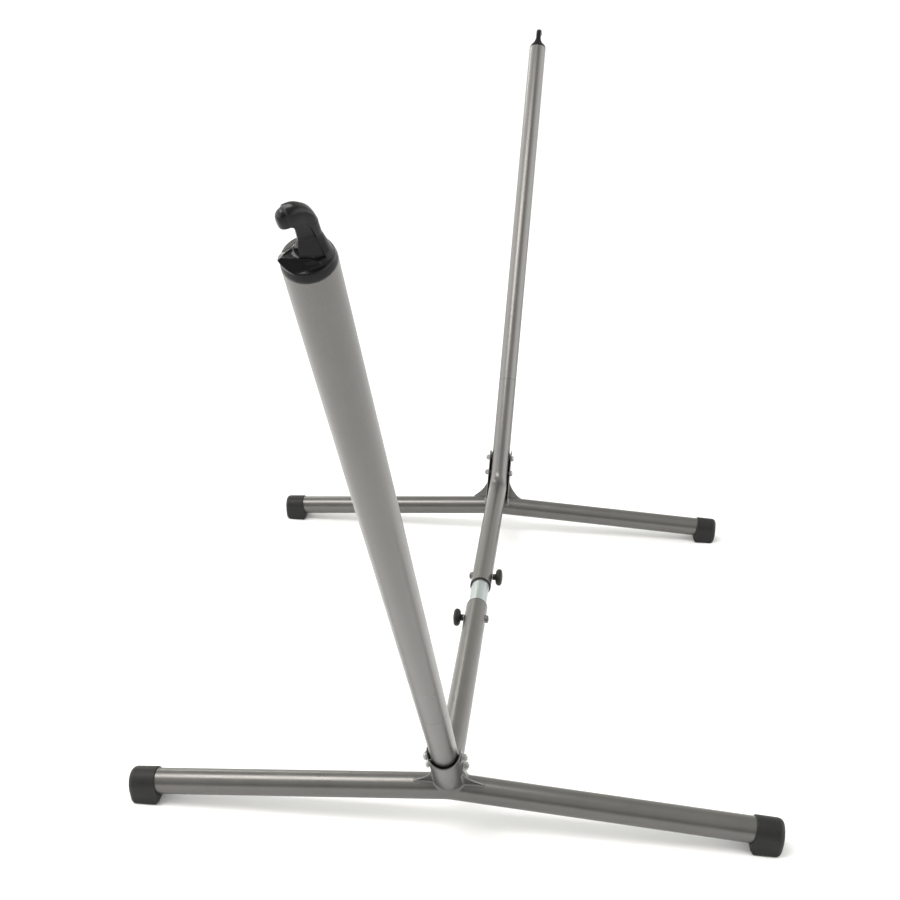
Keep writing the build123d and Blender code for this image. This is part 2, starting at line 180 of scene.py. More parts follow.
def pipe(path, profile, segments=96, wobble=None):
    """Carry a closed loop of (distance, radius) round a path."""
    angles = np.linspace(0, 2 * pi, segments, endpoint=False)
    rows = []
    for s, r in profile:
        point, along = path.at(s)
        side = np.cross(path.normal, along)
        radius = r if wobble is None else r + wobble(s, angles, r)
        ring = np.outer(np.cos(angles) * radius, side) + np.outer(np.sin(angles) * radius, path.normal)
        rows.append(point + ring)
    return np.concatenate(rows), grid_faces(len(rows), segments)


def tube_profile(path, start, end, outer, inner, rim=0.45):
    """Closed loop of (distance, radius) for a tube with rounded rims."""
    out = [(s, outer) for s in path.stations(start + 2, end - 2)]
    back = [(s, inner) for s in reversed(path.stations(start + 2, end - 2))]
    near = soften([(start + 2, inner), (start, inner), (start, outer), (start + 2, outer)], rim, 3, False)
    far = soften([(end - 2, outer), (end, outer), (end, inner), (end - 2, inner)], rim, 3, False)
    return [tuple(p) for p in [*near[1:-1], *out, *far[1:-1], *back]]


def turned(profile, origin, axis, segments=72, flats=None, phase=0.0):
    """Turn a closed loop of (radius, distance) about an axis. flats gives the across-flats width
    of a hexagon that cuts the radius at some of the points."""
    axis = unit(axis)
    u = unit(np.cross(axis, X if abs(axis[0]) < 0.9 else Y))
    v = np.cross(axis, u)
    angles = np.linspace(0, 2 * pi, segments, endpoint=False)
    hexagon = 1 / np.cos((angles + phase + pi / 6) % (pi / 3) - pi / 6)
    rows = []
    for k, (r, z) in enumerate(profile):
        radius = np.full(segments, float(r))
        if flats is not None and flats[k]:
            radius = np.minimum(radius, flats[k] / 2 * hexagon)
        ring = np.outer(radius * np.cos(angles), u) + np.outer(radius * np.sin(angles), v)
        rows.append(np.asarray(origin) + axis * z + ring)
    return np.concatenate(rows), grid_faces(len(rows), segments)


def join(parts):
    """Several (points, faces) as one."""
    points, faces, base = [], [], 0
    for p, f in parts:
        points.append(p)
        faces += [[i + base for i in face] for face in f]
        base += len(p)
    return np.concatenate(points), faces


# ---------------------------------------------------------------- shapes from distance fields
def smooth_min(a, b, k):
    h = np.clip(0.5 + 0.5 * (b - a) / k, 0, 1)
    return b + (a - b) * h - k * h * (1 - h)


def smooth_max(a, b, k):
    return -smooth_min(-a, -b, k)


def skin(field, low, high, step):
    """Quad mesh of the surface where field(x, y, z) is zero, by surface nets."""
    axes = [np.arange(a, b + step, step, dtype=np.float32) for a, b in zip(low, high)]
    gx, gy, gz = np.meshgrid(*axes, indexing="ij")
    s = field(gx, gy, gz).astype(np.float32)
    inside = s < 0
    shape = tuple(n - 1 for n in s.shape)
    total = np.zeros(shape + (3,), np.float32)
    count = np.zeros(shape, np.float32)
    corners = [(i, j, k) for i in (0, 1) for j in (0, 1) for k in (0, 1)]

    def part(array, c):
        return array[c[0]:c[0] + shape[0], c[1]:c[1] + shape[1], c[2]:c[2] + shape[2]]

    for a in corners:
        for axis in range(3):
            if a[axis]:
                continue
            b = tuple(1 if n == axis else a[n] for n in range(3))
            sa, sb = part(s, a), part(s, b)
            cross = part(inside, a) != part(inside, b)
            t = np.where(cross, sa / np.where(cross, sa - sb, 1), 0)
            for n in range(3):
                total[..., n] += np.where(cross, t if n == axis else a[n], 0)
            count += cross
    cells = np.argwhere(count > 0)
    number = np.full(shape, -1, np.int64)
    number[count > 0] = np.arange(len(cells))
    local = total[count > 0] / count[count > 0][:, None]
    points = (cells + local) * step + np.array([a[0] for a in axes])
    faces = []
    for axis in range(3):
        o1, o2 = [n for n in range(3) if n != axis]
        first = [slice(None)] * 3
        second = [slice(None)] * 3
        first[axis], second[axis] = slice(0, -1), slice(1, None)
        change = inside[tuple(first)] != inside[tuple(second)]
        at = np.argwhere(change)
        at = at[(at[:, o1] > 0) & (at[:, o2] > 0) & (at[:, o1] < shape[o1]) & (at[:, o2] < shape[o2])]
        quad = []
        for d1, d2 in ((1, 1), (0, 1), (0, 0), (1, 0)):
            c = at.copy()
            c[:, o1] -= d1
            c[:, o2] -= d2
            quad.append(number[c[:, 0], c[:, 1], c[:, 2]])
        faces.append(np.stack(quad, -1))
    faces = np.concatenate(faces)
    e = step * 0.25
    for _ in range(3):
        x, y, z = points.T
        f = field(x, y, z)
        grad = np.stack([field(x + e, y, z) - field(x - e, y, z), field(x, y + e, z) - field(x, y - e, z),
                         field(x, y, z + e) - field(x, y, z - e)], -1) / (2 * e)
        move = grad * (f / np.maximum((grad**2).sum(-1), 0.2))[:, None]
        size = np.linalg.norm(move, axis=1, keepdims=True)
        points = points - move * np.minimum(1, 0.4 * step / np.maximum(size, 1e-9))
    return points, faces.tolist()


def arm_to_world(points):
    return ELBOW + points[:, :1] * ARM_X + points[:, 1:2] * ARM_Y + points[:, 2:] * ARM_Z


# ---------------------------------------------------------------- materials
def clear(name):
    mat = bpy.data.materials.new(name)
    mat.use_nodes = True
    nodes, links = mat.node_tree.nodes, mat.node_tree.links
    nodes.clear()
    out = nodes.new("ShaderNodeOutputMaterial")
    shader = nodes.new("ShaderNodeBsdfPrincipled")
    links.new(shader.outputs["BSDF"], out.inputs["Surface"])
    return mat, nodes, links, shader


def two_stops(nodes, low, high, first, last):
    """Colour ramp from one colour at low to another at high."""
    ramp = nodes.new("ShaderNodeValToRGB")
    for element, position, colour in zip(ramp.color_ramp.elements, (low, high), (first, last)):
        element.position = position
        element.color = (*colour, 1)
    return ramp


def finish(name, dark, light, rough, metallic=0.0, coat=0.0, grain=900.0, bump=0.15, flake=0.0, blotch=30.0,
           stretch=(1, 1, 1), edge=None, edge_amount=0.5, painted_corner_shade=0.0, spec=0.5, bump_distance=0.0002):
    """A surface with blotchy and fine colour variation, uneven roughness, grain in its bump,
    rubbed edges and painted shade that darkens its corners."""
    mat, nodes, links, shader = clear(name + "_finish")
    mat["slot"] = name
    place = nodes.new("ShaderNodeTexCoord")
    mapping = nodes.new("ShaderNodeMapping")
    mapping.inputs["Scale"].default_value = stretch
    links.new(place.outputs["Object"], mapping.inputs["Vector"])

    def noise(scale, detail, roughness=0.6):
        n = nodes.new("ShaderNodeTexNoise")
        n.inputs["Scale"].default_value = scale
        n.inputs["Detail"].default_value = detail
        n.inputs["Roughness"].default_value = roughness
        links.new(mapping.outputs["Vector"], n.inputs["Vector"])
        return n

    broad, fine = noise(blotch, 4), noise(grain, 3, 0.7)
    ramp = two_stops(nodes, 0.3, 0.7, dark, light)
    mixed = nodes.new("ShaderNodeMath")
    mixed.operation = "MULTIPLY_ADD"
    mixed.inputs[1].default_value = 0.5 + 0.5 * flake
    links.new(fine.outputs["Fac"], mixed.inputs[0])
    half = nodes.new("ShaderNodeMath")
    half.operation = "MULTIPLY"
    half.inputs[1].default_value = 0.5 - 0.5 * flake
    links.new(broad.outputs["Fac"], half.inputs[0])
    links.new(half.outputs[0], mixed.inputs[2])
    links.new(mixed.outputs[0], ramp.inputs["Fac"])
    colour = ramp.outputs["Color"]

    geometry = nodes.new("ShaderNodeNewGeometry")
    if edge is not None:
        worn = two_stops(nodes, 0.53, 0.60, (0, 0, 0), (edge_amount,) * 3)
        links.new(geometry.outputs["Pointiness"], worn.inputs["Fac"])
        broken = nodes.new("ShaderNodeMath")
        broken.operation = "MULTIPLY"
        links.new(worn.outputs["Color"], broken.inputs[0])
        links.new(broad.outputs["Fac"], broken.inputs[1])
        mix = nodes.new("ShaderNodeMix")
        mix.data_type = "RGBA"
        links.new(broken.outputs[0], mix.inputs["Factor"])
        links.new(colour, mix.inputs[6])
        mix.inputs[7].default_value = (*edge, 1)
        colour = mix.outputs[2]
    # Painted shade: concave corners (low pointiness) are darkened in the base colour.
    if painted_corner_shade:
        painted_shade_ramp = two_stops(nodes, 0.38, 0.48, (1 - painted_corner_shade,) * 3, (1, 1, 1))
        links.new(geometry.outputs["Pointiness"], painted_shade_ramp.inputs["Fac"])
        mix = nodes.new("ShaderNodeMix")
        mix.data_type = "RGBA"
        mix.blend_type = "MULTIPLY"
        mix.inputs["Factor"].default_value = 1.0
        links.new(colour, mix.inputs[6])
        links.new(painted_shade_ramp.outputs["Color"], mix.inputs[7])
        colour = mix.outputs[2]
    links.new(colour, shader.inputs["Base Color"])

    uneven = nodes.new("ShaderNodeMapRange")
    uneven.inputs["From Min"].default_value = 0.3
    uneven.inputs["From Max"].default_value = 0.7
    uneven.inputs["To Min"].default_value = rough[0]
    uneven.inputs["To Max"].default_value = rough[1]
    links.new(broad.outputs["Fac"], uneven.inputs["Value"])
    links.new(uneven.outputs["Result"], shader.inputs["Roughness"])
    shader.inputs["Metallic"].default_value = metallic
    shader.inputs["Specular IOR Level"].default_value = spec
    shader.inputs["Coat Weight"].default_value = coat
    shader.inputs["Coat Roughness"].default_value = 0.25

    relief = nodes.new("ShaderNodeBump")
    relief.inputs["Strength"].default_value = bump
    relief.inputs["Distance"].default_value = bump_distance
    links.new(fine.outputs["Fac"], relief.inputs["Height"])
    links.new(relief.outputs["Normal"], shader.inputs["Normal"])
    return mat


# Powder coat and zinc get painted shade that darkens their concave corners.
PAINT = finish("grey_powder_coat", (0.112, 0.110, 0.107), (0.166, 0.163, 0.158), (0.27, 0.34), metallic=0.75,
               grain=1100, bump=0.10, flake=0.5, blotch=14, edge=(0.42, 0.42, 0.41), edge_amount=0.35,
               painted_corner_shade=0.45, bump_distance=0.00012)
STEEL = finish("spreader_steel", (0.21, 0.25, 0.26), (0.31, 0.36, 0.37), (0.26, 0.40), metallic=0.9,
               grain=900, bump=0.2, blotch=22, stretch=(0.04, 1, 1), edge=(0.8, 0.8, 0.8),
               bump_distance=0.0001)
HOOK = finish("hook_plastic", (0.004, 0.004, 0.005), (0.008, 0.008, 0.009), (0.16, 0.26), grain=700,
              bump=0.10, blotch=60, edge=(0.04, 0.04, 0.04), spec=0.2, bump_distance=0.00015)
KNOB = finish("knob_plastic", (0.006, 0.006, 0.006), (0.018, 0.018, 0.018), (0.38, 0.55), grain=650,
              bump=0.7, flake=0.4, blotch=90, edge=(0.05, 0.05, 0.048), spec=0.25, bump_distance=0.0005)
NYLON = finish("black_nylon", (0.012, 0.012, 0.012), (0.026, 0.026, 0.027), (0.42, 0.55), grain=1200,
               bump=0.3, blotch=50, edge=(0.08, 0.08, 0.08), spec=0.4)
RUBBER = finish("cap_rubber", (0.008, 0.008, 0.008), (0.018, 0.018, 0.018), (0.40, 0.58), grain=1500,
                bump=0.35, flake=0.3, blotch=35, edge=(0.06, 0.06, 0.058), edge_amount=0.6, spec=0.25,
                bump_distance=0.0002)
ZINC = finish("zinc_fastener", (0.28, 0.28, 0.27), (0.42, 0.42, 0.41), (0.34, 0.48), metallic=0.95,
              grain=1400, bump=0.3, blotch=140, edge=(0.85, 0.85, 0.84), painted_corner_shade=0.5)


# ---------------------------------------------------------------- tubes
def foot_point(side, width):
    return np.array([FOOT_MIDDLE[0] + FOOT_SWEEP * width, side * width, FOOT_MIDDLE[2] - FOOT_DROP * width])


def foot_path():
    return Path([foot_point(-1, FOOT_HALF), FOOT_MIDDLE, foot_point(1, FOOT_HALF)], FOOT_BEND)


def foot_tube():
    path = foot_path()
    return pipe(path, tube_profile(path, 0, path.length, TUBE_R, TUBE_BORE))


def lower_arm():
    path = Path([[MOUTH_X, 0, ELBOW[2]], ELBOW, ELBOW + ARM_Z * SEAM], ELBOW_BEND)
    seam = path.length
    end = seam + SPIGOT_END - SEAM
    bore = SPIGOT_R - 1.5
    outer = [(s, TUBE_R) for s in path.stations(2, seam - 2)]
    inner = [(s, TUBE_BORE) for s in reversed(path.stations(2, seam - 16))]
    rim = soften([(2, TUBE_BORE), (0, TUBE_BORE), (0, TUBE_R), (2, TUBE_R)], 0.5, 3, False)[1:-1]
    neck = [(seam - 2, TUBE_R), (seam, TUBE_R), (seam, SPIGOT_R), (seam + 4, SPIGOT_R), (end, SPIGOT_R)]
    neck += [(end, bore), (seam - 8, bore), (seam - 12, TUBE_BORE), (seam - 16, TUBE_BORE)]
    neck = soften(neck, 0.5, 3, False)
    loop = [tuple(p) for p in [*rim, *outer, *neck[1:-1], *inner]]
    arc_start, arc = path.first, path.arc[2]

    def squeeze(s, angles, r):
        """The bend is a little flattened across its plane, as tube bent on a former is."""
        depth = sin(pi * np.clip((s - arc_start) / arc, 0, 1)) ** 2
        return 0.5 * depth * -np.abs(np.cos(angles)) * (r > 20)

    return pipe(path, loop, wobble=squeeze)


def upper_arm():
    path = Path([ELBOW + ARM_Z * (SEAM + SEAM_GAP), ELBOW + ARM_Z * ARM_END])
    return pipe(path, tube_profile(path, 0, path.length, TUBE_R, TUBE_BORE, 0.5))


# ---------------------------------------------------------------- saddle, gussets and their welds
def foot_distance(px, py, pz):
    """Distance of world points from the foot's centre line."""
    best = None
    for side in (-1, 1):
        d = unit(foot_point(side, 1.0) - FOOT_MIDDLE)
        qx, qy, qz = px - FOOT_MIDDLE[0], py, pz - FOOT_MIDDLE[2]
        t = np.maximum(qx * d[0] + qy * d[1] + qz * d[2], 0)
        gap = np.sqrt((qx - t * d[0]) ** 2 + (qy - t * d[1]) ** 2 + (qz - t * d[2]) ** 2)
        best = gap if best is None else smooth_min(best, gap, 0.6)
    return best


def circle_through(a, b, c):
    (ax, ay), (bx, by), (cx, cy) = a, b, c
    d = 2 * (ax * (by - cy) + bx * (cy - ay) + cx * (ay - by))
    ux = ((ax**2 + ay**2) * (by - cy) + (bx**2 + by**2) * (cy - ay) + (cx**2 + cy**2) * (ay - by)) / d
    uy = ((ax**2 + ay**2) * (cx - bx) + (bx**2 + by**2) * (ax - cx) + (cx**2 + cy**2) * (bx - ax)) / d
    return ux, uy, sqrt((ax - ux) ** 2 + (ay - uy) ** 2)


FOOT_OUT = (FOOT_MIDDLE - ELBOW) @ ARM_X
FOOT_ALONG = (FOOT_MIDDLE - ELBOW) @ ARM_Z
GUSSET_BASE = FOOT_ALONG + TUBE_R
GUSSET_START = sqrt(SADDLE_R**2 - FOOT_OUT**2)
GUSSET_CURVE = circle_through((GUSSET_START + 2, GUSSET_BASE + GUSSET_HEIGHT),
                              (GUSSET_START + GUSSET_REACH * 0.42, GUSSET_BASE + GUSSET_HEIGHT * 0.42),
                              (GUSSET_START + GUSSET_REACH, GUSSET_BASE - 1))


def saddle_top(x):
    """Height of the channel's top edge: high on the flanges, falling round the web."""
    u = np.maximum(x + 1, 0)
    rise = np.clip((x + SADDLE_FLANGE) / 8, 0, 1)
    return 96 + 8 * np.sqrt(1 - (1 - rise) ** 2) - 0.19967 * u - 0.003816 * u**2


def saddle_field(x, y, z):
    """Channel and gussets welded on the foot, in the arm's frame."""
    side = np.where(x > 0, np.hypot(x, y), np.abs(y))
    wall = np.abs(side - SADDLE_MID) - SADDLE_WALL / 2
    wall = smooth_max(wall, -SADDLE_FLANGE - x, 1.6)
    wall = smooth_max(wall, (z - saddle_top(x)) * 0.9, 1.6)
    wall = np.maximum(wall, -55 - z)
    px = ELBOW[0] + x * ARM_X[0] + y * ARM_Y[0] + z * ARM_Z[0]
    py = x * ARM_X[1] + y * ARM_Y[1] + z * ARM_Z[1]
    pz = ELBOW[2] + x * ARM_X[2] + y * ARM_Y[2] + z * ARM_Z[2]
    foot = foot_distance(px, py, pz) - (TUBE_R - 0.35)
    ay = np.abs(y)
    cy, cz, cr = GUSSET_CURVE
    plate = np.abs(x - FOOT_OUT) - GUSSET_WALL / 2
    plate = smooth_max(plate, cr - np.hypot(ay - cy, z - cz), 1.2)
    plate = np.maximum(plate, ay - GUSSET_START - GUSSET_REACH - 1)
    plate = np.maximum(plate, GUSSET_START - 3 - ay)
    plate = np.maximum(plate, z - GUSSET_BASE - GUSSET_HEIGHT)
    plate = np.maximum(plate, foot - 60)
    # Weld beads: rows of overlapping ripples where the plates and the channel meet the foot.
    ripple = 0.35 * np.cos(2 * pi * ay / 2.6)
    body = smooth_min(wall, foot, 7.0 + ripple)
    beads = np.hypot(np.abs(x - FOOT_OUT) - 2.2, foot - 0.2) - 2.3 - ripple
    beads = np.maximum(beads, ay - GUSSET_START - GUSSET_REACH - 1)
    beads = np.maximum(beads, GUSSET_START - 2 - ay)
    upright = np.hypot(np.abs(x - FOOT_OUT) - 1.6, side - SADDLE_R - 0.6) - 1.7
    upright = upright - 0.3 * np.cos(2 * pi * z / 2.6)
    upright = np.maximum(upright, z - GUSSET_BASE - GUSSET_HEIGHT + 1)
    body = smooth_min(body, plate, 2.2)
    body = smooth_min(body, beads, 1.0)
    body = smooth_min(body, upright, 1.0)
    inside = SADDLE_BORE - side
    body = np.where(z > -20, np.maximum(body, inside), body)
    body = np.maximum(body, ay - GUSSET_START - GUSSET_REACH - 8)
    return np.maximum(body, -(foot + 1.4))


def fastener_origin(along):
    return ELBOW + ARM_Z * along + ARM_X * BOLT_OUT


def thread(start, end, radius, depth):
    """Crests and roots of a thread as (radius, distance), from start down to end."""
    points = []
    z = start
    while z > end:
        points += [(radius, z), (radius - depth, z - THREAD_FALL)]
        z -= THREAD_PITCH
    return points


def bolt(along):
    """Domed head with a hexagon socket, shank and a threaded end."""
    grip = SADDLE_R + 1.7
    top = grip + 5.3
    dome = [(8.2 * cos(a), grip + 0.9 + 4.4 * sin(a)) for a in np.linspace(0.05, 1.12, 9)]
    head = [(0.0, top - 3.2), (2.4, top - 3.2), (2.75, top - 2.9), (2.75, top - 0.5), (3.1, top - 0.08)]
    head += [*dome[::-1], (8.2, grip + 0.4), (7.9, grip), (BOLT_R, grip), (BOLT_R, -grip - 1)]
    flats = [0, 0, 5.0, 5.0] + [0] * (len(head) - 4)
    tail = [(BOLT_R - 0.9, -grip - 8.55), (0.0, -grip - 8.6)]
    profile = [*head, *thread(-grip - 5.6, -grip - 8.2, BOLT_R, 0.5), *tail]
    flats += [0] * (len(profile) - len(flats))
    return turned(profile, fastener_origin(along), -ARM_Y, flats=flats)


def hex_nut(along):
    start, height, flats = SADDLE_R + 1.75, 6.5, 13.0
    loop = soften([(BOLT_R + 0.05, start), (8.3, start), (8.3, start + height - 1.2), (6.3, start + height),
                   (BOLT_R + 0.5, start + height), (BOLT_R + 0.05, start + height - 0.6)], 0.35, 3)
    return turned(loop, fastener_origin(along), ARM_Y, flats=[flats] * len(loop), segments=96)


def washers(along):
    loop = soften([(BOLT_R + 0.2, 0), (8.2, 0), (8.2, 1.5), (BOLT_R + 0.2, 1.5)], 0.35, 3)
    return [turned(loop + [0, SADDLE_R + 0.1], fastener_origin(along), side * ARM_Y) for side in (-1, 1)]


# ---------------------------------------------------------------- clamp
def clamp_knob():
    """Lens-shaped knob on a short hub, with a parting line round its rim."""
    profile = [(4.05, 27.0), (6.6, 27.0), (7.4, 27.6), (7.5, 29.0), (7.6, 31.2), (8.6, 32.7), (10.5, 33.1)]
    profile += [(12.0 + 8.3 * sin(a), 41.3 - 8.0 * cos(a)) for a in np.linspace(0.15, 1.5, 14)]
    profile += [(20.45, 41.1), (20.2, 41.45), (20.45, 41.8)]
    profile += [(12.0 + 8.3 * cos(a), 42.0 + 6.6 * sin(a)) for a in np.linspace(0.08, 1.5, 14)]
    profile += [(9.0, 49.2), (6.0, 49.7), (3.0, 49.95), (0.0, 50.0)]
    return turned(profile, CLAMP_CENTRE, -Y, segments=128)


def clamp_stud():
    profile = [(0.0, 45.0), (4.0, 45.0), (4.0, 26.9), *thread(26.4, -30.9, 4.0, 0.45)]
    profile += [(3.9, -31.4), (3.1, -32.4), (2.6, -32.5), (0.0, -32.5)]
    return turned(profile, CLAMP_CENTRE, -Y)


def weld_nut():
    """Round-shouldered nut with its ring of weld on the tube."""
    loop = soften([(4.05, 22.0), (9.5, 22.0), (9.5, 25.9), (8.9, 26.6), (8.6, 29.4), (6.9, 31.0), (4.6, 31.0),
                   (4.05, 30.4)], 0.4, 3)
    flats = [15.0 if z > 26.6 and r > 4.5 else 0 for r, z in loop]
    return turned(loop, CLAMP_CENTRE, Y, flats=flats, segments=96)


def clamp_washer():
    loop = soften([(4.2, 25.3), (8.5, 25.3), (8.5, 26.8), (4.2, 26.8)], 0.35, 3)
    return turned(loop, CLAMP_CENTRE, -Y)


def guide_bush():
    lip, end = MOUTH_X - BUSH_LIP, MOUTH_X + BUSH_LENGTH
    loop = soften([(BUSH_BORE, lip), (TUBE_R, lip), (TUBE_R, MOUTH_X), (TUBE_BORE - 0.05, MOUTH_X),
                   (TUBE_BORE - 0.05, end), (BUSH_BORE, end)], 0.5, 3)
    return turned(loop, [0, 0, ELBOW[2]], X, segments=96)


# ---------------------------------------------------------------- foot cap
def cap_field(x, y, z):
    """Right-hand cap in world millimetres."""
    d = unit(foot_point(1, 1.0) - FOOT_MIDDLE)
    qx, qy, qz = x - FOOT_MIDDLE[0], y, z - FOOT_MIDDLE[2]
    along = qx * d[0] + qy * d[1] + qz * d[2]
    across = qx - along * d[0]
    down = -(qz - along * d[2]) / sqrt(d[0] ** 2 + d[1] ** 2)
    sleeve = np.where(down > 0, np.abs(across) + CAP_FLAT, np.hypot(across, down)) - CAP_R
    waist = 0.9 * np.exp(-((z - 14.0) / 9.0) ** 2)
    body = sleeve + waist
    body = smooth_max(body, -z, 4.5)
    middle = foot_point(1, CAP_INNER)[2]
    edge = np.interp(z, [0, middle - CAP_R, middle + CAP_R + CAP_LEAN],
                     [CAP_HEEL, CAP_INNER - CAP_LEAN, CAP_INNER + CAP_LEAN])
    body = smooth_max(body, (edge - y) * 0.95, 2.2)
    bulge = ((across / 30) ** 2 + ((z - 34) / 42) ** 2) * 5.0
    outer = y - CAP_OUTER + 0.4 + bulge
    body = smooth_max(body, outer * 0.93, 9.0)
    bore = np.hypot(across, down) - (TUBE_R + 0.05)
    return np.maximum(body, -np.maximum(bore, along - FOOT_HALF - 1))


# ---------------------------------------------------------------- hook
def hook_stem(x, ay, z):
    """Flared stem that curls over into a rounded bulb, with an arched recess on each side."""
    level = [8, 14, 23, 28, 31, 46]
    back = np.interp(z, level, [-22.0, -20.5, -18.3, -17.1, -16.3, -15.6])
    front = np.interp(z, level, [12.5, 10.1, 7.3, 5.6, 4.9, 4.8])
    width = np.interp(z, level, [19.0, 13.5, 9.6, 8.4, 8.0, 8.0])
    turn = np.clip(np.arctan2(z - 46, 7 - x) / (pi / 2), 0, 1)
    middle, half = 12.0 - 0.1 * turn, 10.0 - 0.2 * turn
    along = np.where(z < 46, np.abs(x - (front + back) / 2) / ((front - back) / 2),
                     np.abs(np.hypot(x - 7, z - 46) - middle) / half)
    stem = ((along**3 + (ay / width) ** 3) ** (1 / 3) - 1) * width
    stem = np.maximum(stem, np.maximum(8 - z, np.where(z < 46, -9, x - 8)))
    power = 2.6
    bulb = (np.abs(x - 7.4) / 10.4) ** power + (ay / 8.1) ** power + (np.abs(z - 56.4) / 10.6) ** power
    bulb = bulb ** (1 / power)
    body = smooth_min(stem, (bulb - 1) * 8.1, 4.0)
    edge = np.interp(z, [12, 29, 43.5, 50, 53.5], [-11.0, -9.4, -6.7, -4.2, 0.0])
    slope = np.clip((x - edge) / (4.8 - edge), 0, 1.2)
    floor = 5.6 - 3.8 * slope + 0.36 * np.maximum(29 - z, 0)
    arch = smooth_max(edge - x, z - 53.5, 1.5)
    return smooth_max(body, -np.maximum(np.maximum(arch, floor - ay), 12 - z), 0.5)


def hook_field(x, y, z):
    """Hook in its own frame: z along the arm from its rim, x the way it opens."""
    ay, r = np.abs(y), np.hypot(x, y)
    shoulder = np.interp(z, [-1, 2.2, 5, 8, 12], [25.0, 25.0, 24.4, 23.4, 21.4])
    collar = smooth_max((r - shoulder) * 0.93, np.abs(z - 4.6) - 4.6, 1.0)

    # Lip: two faces on each side fall from the rims to the collar, and the rims meet in a point.
    rim = np.interp(x, [-5, -4, -2, 0, 4, 8, 12, 16, 20, 24, 27.3],
                    [24.2, 23.4, 21.4, 19.0, 14.4, 10.5, 7.2, 4.5, 2.2, 0.8, 0])
    height = np.interp(x, [-5, -4, -2, 0, 4, 8, 12, 20, 27.3],
                       [11.0, 12.8, 14.4, 15.5, 16.8, 17.6, 18.2, 18.9, 20.0])
    inner = np.clip(ay / np.maximum(rim, 0.6), 0, 1)
    dish = height - np.minimum(2.4, 0.35 * rim) * (1 - inner**4)
    lip = smooth_max((z - dish) * 0.85, 0.132 * x + 0.665 * ay + 0.735 * z - 18.3, 0.5)
    lip = smooth_max(lip, 0.329 * x + 0.583 * ay + 0.743 * z - 21.6, 0.4)
    lip = smooth_max(lip, (r - 23.4 - 0.33 * np.clip(z - 8, 0, 20)) * 0.95, 0.8)
    lip = np.maximum(lip, 5 - z)
    lip = np.maximum(lip, -x - 6)
    body = smooth_min(lip, collar, 0.6)
    return smooth_min(body, hook_stem(x, ay, z), 1.6)


def hook_plug():
    """Hollow plug that sits in the arm, with shallow grip rings."""
    outer = [(23.35, 0.5)]
    for k in range(6):
        z = -4.0 - 5.2 * k
        outer += [(23.35, z + 1.4), (23.0, z + 0.5), (23.0, z - 0.5), (23.35, z - 1.4)]
    outer += [(23.3, -33.6), (22.3, -35.0), (20.2, -35.0), (19.9, -34.4), (19.9, 0.5)]
    return turned(outer, [0, 0, 0], Z, segments=96)


def place_hook(points, turn):
    a = radians(180 - turn)
    x = points[:, 0] * cos(a) - points[:, 1] * sin(a)
    y = points[:, 0] * sin(a) + points[:, 1] * cos(a)
    return arm_to_world(np.stack([x, y, points[:, 2] + ARM_END], -1))


# ---------------------------------------------------------------- assembly
def build():
    fine = 0.55
    saddle = skin(saddle_field, (-14, -76, -62), (36, 76, 108), fine)
    saddle = (arm_to_world(saddle[0]), saddle[1])
    cap = skin(cap_field, (588, 552, -2), (666, CAP_OUTER + 3, 72), fine + 0.1)
    other_cap = (cap[0] * np.array([1.0, -1.0, 1.0]), cap[1])
    shell = skin(hook_field, (-28, -28, -2), (32, 28, 74), fine)
    plug = hook_plug()
    bolts = join([bolt(a) for a in BOLT_ALONG])
    nuts = join([hex_nut(a) for a in BOLT_ALONG])
    discs = join([w for a in BOLT_ALONG for w in washers(a)])
    pieces = [
        ("foot_tube", foot_tube(), "base", PAINT, ["foot_tube"], 40),
        ("lower_arm_tube", lower_arm(), "base", PAINT, ["lower_arm_tube"], 40),
        ("upper_arm_tube", upper_arm(), "upper_arm", PAINT, ["upper_arm_tube"], 40),
        ("welded_saddle", saddle, "base", PAINT, ["saddle_bracket", "saddle_gussets"], 0),
        ("saddle_bolts", bolts, "base", ZINC, ["saddle_bolts"], 40),
        ("saddle_nuts", nuts, "base", ZINC, ["saddle_nuts"], 40),
        ("saddle_washers", discs, "base", ZINC, ["saddle_washers"], 40),
        ("weld_nut", weld_nut(), "base", PAINT, ["weld_nut"], 40),
        ("guide_bush", guide_bush(), "base", NYLON, ["guide_bush"], 40),
        ("clamp_knob", clamp_knob(), "clamp_screw", KNOB, ["clamp_knob"], 60),
        ("clamp_stud", clamp_stud(), "clamp_screw", ZINC, ["clamp_stud"], 40),
        ("clamp_washer", clamp_washer(), "clamp_thrust", ZINC, ["clamp_washer"], 40),
        ("right_foot_cap", cap, "base", RUBBER, ["right_foot_cap"], 0),
        ("left_foot_cap", other_cap, "base", RUBBER, ["left_foot_cap"], 0),
    ]
    for half in ("front", "rear"):
        for name, (points, faces), body, mat, nodes, angle in pieces:
            if half == "rear":
                points = half_turn(points)
                swap = {"right_foot_cap": "left_foot_cap", "left_foot_cap": "right_foot_cap"}
                name = swap.get(name, name)
                nodes = [swap.get(n, n) for n in nodes]
            add_piece(f"{half}_{name}_made", points, faces, f"{half}_{body}", mat,
                      [f"{half}_{n}" for n in nodes], angle)
        whole = place_hook(shell[0], HOOK_TURN[half])
        stub = place_hook(plug[0], HOOK_TURN[half])
        if half == "rear":
            whole, stub = half_turn(whole), half_turn(stub)
        add_piece(f"{half}_hook_made", whole, shell[1], f"{half}_hook_swivel", HOOK, [f"{half}_hook"], 50)
        add_piece(f"{half}_hook_plug", stub, plug[1], f"{half}_hook_swivel", HOOK, (), 40)


def dress_nodes():
    """CAD nodes that stay as they are get their finish here."""
    finishes = {"spreader_tube": STEEL, "front_spreader_glide": NYLON, "rear_spreader_glide": NYLON,
                "front_saddle_spacers": NYLON, "rear_saddle_spacers": NYLON}
    for name, mat in finishes.items():
        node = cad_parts[name]
        if not node.material_slots:
            node.data.materials.append(mat)
        for slot in node.material_slots:
            slot.material = mat


